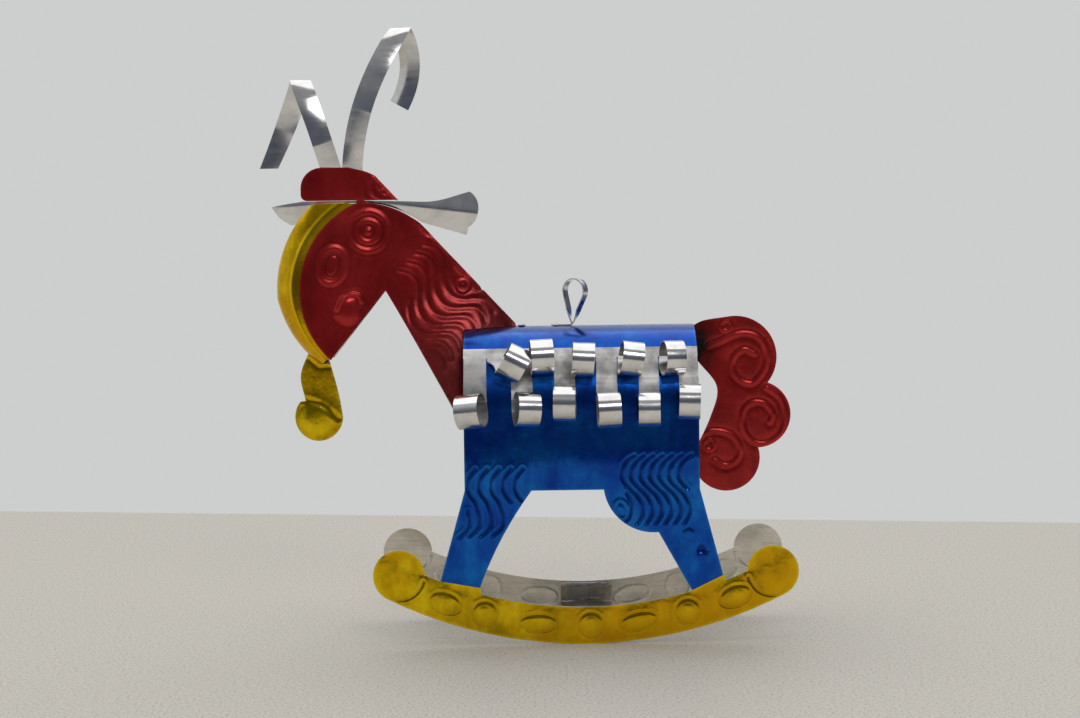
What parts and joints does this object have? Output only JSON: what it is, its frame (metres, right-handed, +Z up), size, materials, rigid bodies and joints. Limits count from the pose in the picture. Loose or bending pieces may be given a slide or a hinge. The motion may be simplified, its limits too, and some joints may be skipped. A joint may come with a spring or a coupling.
{
  "type": "rocking goat ornament",
  "caption": "Tinplate goat on curved rockers, with folded head, rolled horns, curled fringes, scroll tail and a loop to hang it by.",
  "frame": {"origin": "on the table, midway between the two rockers, under the middle of their curve", "axes": "+Z up, +X from head to tail, +Y towards the goat's right side"},
  "size_m": [0.1682, 0.0708, 0.1919],
  "materials": {
    "blue_lacquer": "glossy translucent blue lacquer over tinplate",
    "red_lacquer": "glossy translucent red lacquer over tinplate",
    "yellow_lacquer": "glossy translucent yellow lacquer over tinplate",
    "bare_tin": "bright bare tinplate",
    "solder": "dull grey soft solder"
  },
  "bodies": {
    "root": {"body_shell": "blue_lacquer", "head_neck_shell": "red_lacquer", "tail": "red_lacquer", "face_band": "yellow_lacquer", "rocker_left": "yellow_lacquer", "rocker_right": "yellow_lacquer", "cross_strap": "bare_tin", "horns": "bare_tin", "ears": "bare_tin", "fringe_left": "bare_tin", "fringe_right": "bare_tin", "hanging_loop": "bare_tin", "solder_legs": "solder", "solder_strap": "solder", "solder_tail": "solder", "solder_loop": "solder", "solder_neck": "solder"}
  },
  "joints": []
}
